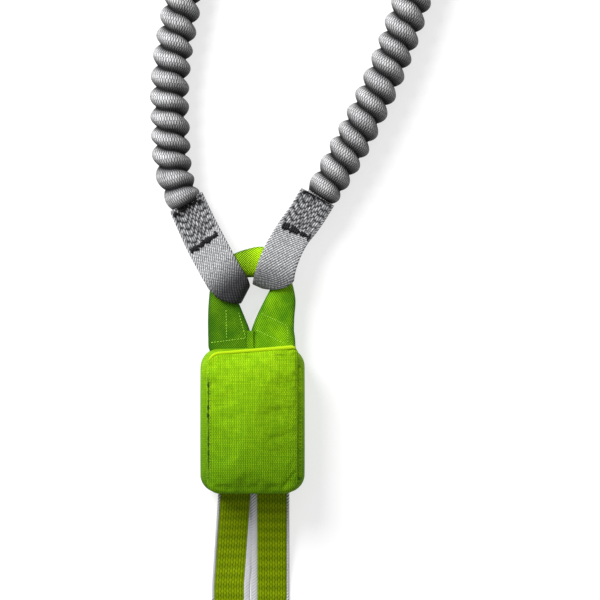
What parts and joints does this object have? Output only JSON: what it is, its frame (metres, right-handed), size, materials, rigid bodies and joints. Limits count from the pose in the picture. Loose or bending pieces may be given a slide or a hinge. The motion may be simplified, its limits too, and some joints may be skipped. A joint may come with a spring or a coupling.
{
  "type": "via ferrata lanyard",
  "caption": "Y-shaped via ferrata lanyard: elastic arms with palm-lever carabiners, a sewn eye, a tear-webbing absorber in a fabric pouch and a tie-in loop.",
  "frame": {"origin": "middle of the pouch's flat back face, which lies on the ground", "axes": "+Y from the pouch to the carabiners, +Z out of the pouch's front"},
  "size_m": [0.2403, 0.9799, 0.0398],
  "materials": {
    "pouch_fabric": "satin weave",
    "edge_binding": "matt",
    "closure_tape": "matt",
    "absorber_webbing": "matt",
    "absorber_band": "matt",
    "eye_webbing": "matt twill",
    "tie_in_webbing": "matt",
    "arm_cover": "matt knit",
    "arm_core": "matt",
    "strap_webbing": "matt melange weave",
    "sleeve_plastic": "matt",
    "keeper_rubber": "satin",
    "forged_metal": "satin anodised",
    "gate_metal": "satin anodised",
    "lever_steel": "brushed",
    "pad_plastic": "matt",
    "pin_steel": "turned",
    "spring_steel": "drawn"
  },
  "bodies": {
    "absorber": {"pouch_back": "pouch_fabric", "loop_tape": "closure_tape", "tear_webbing_left": "absorber_webbing", "tear_webbing_right": "absorber_webbing", "pack_band_lower": "absorber_band", "pack_band_upper": "absorber_band", "eye_tail_left": "eye_webbing", "eye_tail_right": "eye_webbing", "tie_in_tail_left": "tie_in_webbing", "tie_in_tail_right": "tie_in_webbing"},
    "cover_flap": {"pouch_front": "pouch_fabric", "hook_tape": "closure_tape", "pouch_binding": "edge_binding"},
    "tie_in": {"tie_in_loop": "tie_in_webbing"},
    "eye": {"eye_loop": "eye_webbing"},
    "left_arm_group": {"left_lower_loop": "strap_webbing", "left_lower_splice": "arm_cover", "left_arm": "arm_cover", "left_arm_core": "arm_core"},
    "left_end": {"left_end_sleeve": "sleeve_plastic", "left_upper_loop": "strap_webbing", "left_keeper": "keeper_rubber"},
    "left_carabiner": {"left_carabiner_body": "forged_metal", "left_gate_pin": "pin_steel", "left_lever_pin": "pin_steel", "left_gate_spring": "spring_steel", "left_lever_spring": "spring_steel"},
    "left_lever": {"left_palm_lever": "lever_steel", "left_palm_pad": "pad_plastic"},
    "left_gate_body": {"left_gate": "gate_metal"},
    "right_arm_group": {"right_lower_loop": "strap_webbing", "right_lower_splice": "arm_cover", "right_arm": "arm_cover", "right_arm_core": "arm_core"},
    "right_end": {"right_end_sleeve": "sleeve_plastic", "right_upper_loop": "strap_webbing", "right_keeper": "keeper_rubber"},
    "right_carabiner": {"right_carabiner_body": "forged_metal", "right_gate_pin": "pin_steel", "right_lever_pin": "pin_steel", "right_gate_spring": "spring_steel", "right_lever_spring": "spring_steel"},
    "right_lever": {"right_palm_lever": "lever_steel", "right_palm_pad": "pad_plastic"},
    "right_gate_body": {"right_gate": "gate_metal"}
  },
  "joints": [
    {"name": "cover_flap_open", "type": "hinge", "parent": "absorber", "child": "cover_flap", "pos_m": [0.0302, 0, 0.032], "axis": [0, 1, 0], "range_deg": [0, 110]},
    {"name": "tie_in_fold", "type": "hinge", "parent": "absorber", "child": "tie_in", "pos_m": [0, -0.0476, 0.0129], "axis": [-1, 0, 0], "range_deg": [0, 75]},
    {"name": "eye_fold", "type": "hinge", "parent": "absorber", "child": "eye", "pos_m": [0, 0.0476, 0.0154], "axis": [1, 0, 0], "range_deg": [0, 75]},
    {"name": "left_arm_spread", "type": "hinge", "parent": "eye", "child": "left_arm_group", "pos_m": [-0.009, 0.083, 0.013], "axis": [0, 0, 1], "range_deg": [0, 20]},
    {"name": "left_arm_stretch", "type": "slide", "parent": "left_arm_group", "child": "left_end", "axis": [0, 1, 0], "range_m": [0, 0.33], "stiffness_N_per_m": 60, "deforming": ["left_arm", "left_arm_core"]},
    {"name": "left_carabiner_swing", "type": "hinge", "parent": "left_end", "child": "left_carabiner", "pos_m": [-0.0455, 0.668, 0.0065], "axis": [1, 0, 0], "range_deg": [0, 80]},
    {"name": "left_palm_squeeze", "type": "hinge", "parent": "left_carabiner", "child": "left_lever", "pos_m": [-0.06245, 0.6853, 0.0065], "axis": [0, 0, -1], "range_deg": [0, 5], "stiffness_Nm_per_rad": 4, "deforming": ["left_lever_spring"]},
    {"name": "left_gate_open", "type": "hinge", "parent": "left_carabiner", "child": "left_gate_body", "pos_m": [-0.02585, 0.69685, 0.0065], "axis": [0, 0, 1], "range_deg": [0, 26], "stiffness_Nm_per_rad": 0.15},
    {"name": "right_arm_spread", "type": "hinge", "parent": "eye", "child": "right_arm_group", "pos_m": [0, 0.083, 0.013], "axis": [0, 0, -1], "range_deg": [0, 20]},
    {"name": "right_arm_stretch", "type": "slide", "parent": "right_arm_group", "child": "right_end", "axis": [0, 1, 0], "range_m": [0, 0.33], "stiffness_N_per_m": 60, "deforming": ["right_arm", "right_arm_core"]},
    {"name": "right_carabiner_swing", "type": "hinge", "parent": "right_end", "child": "right_carabiner", "pos_m": [0.1168, 0.668, 0.0065], "axis": [1, 0, 0], "range_deg": [0, 80]},
    {"name": "right_palm_squeeze", "type": "hinge", "parent": "right_carabiner", "child": "right_lever", "pos_m": [0.09985, 0.6853, 0.0065], "axis": [0, 0, -1], "range_deg": [0, 5], "stiffness_Nm_per_rad": 4, "deforming": ["right_lever_spring"]},
    {"name": "right_gate_open", "type": "hinge", "parent": "right_carabiner", "child": "right_gate_body", "pos_m": [0.13645, 0.69685, 0.0065], "axis": [0, 0, 1], "range_deg": [0, 26], "stiffness_Nm_per_rad": 0.15}
  ],
  "couplings": [
    {"joint": "left_gate_open", "follows": "left_palm_squeeze", "ratio": 5.2},
    {"joint": "right_gate_open", "follows": "right_palm_squeeze", "ratio": 5.2}
  ]
}
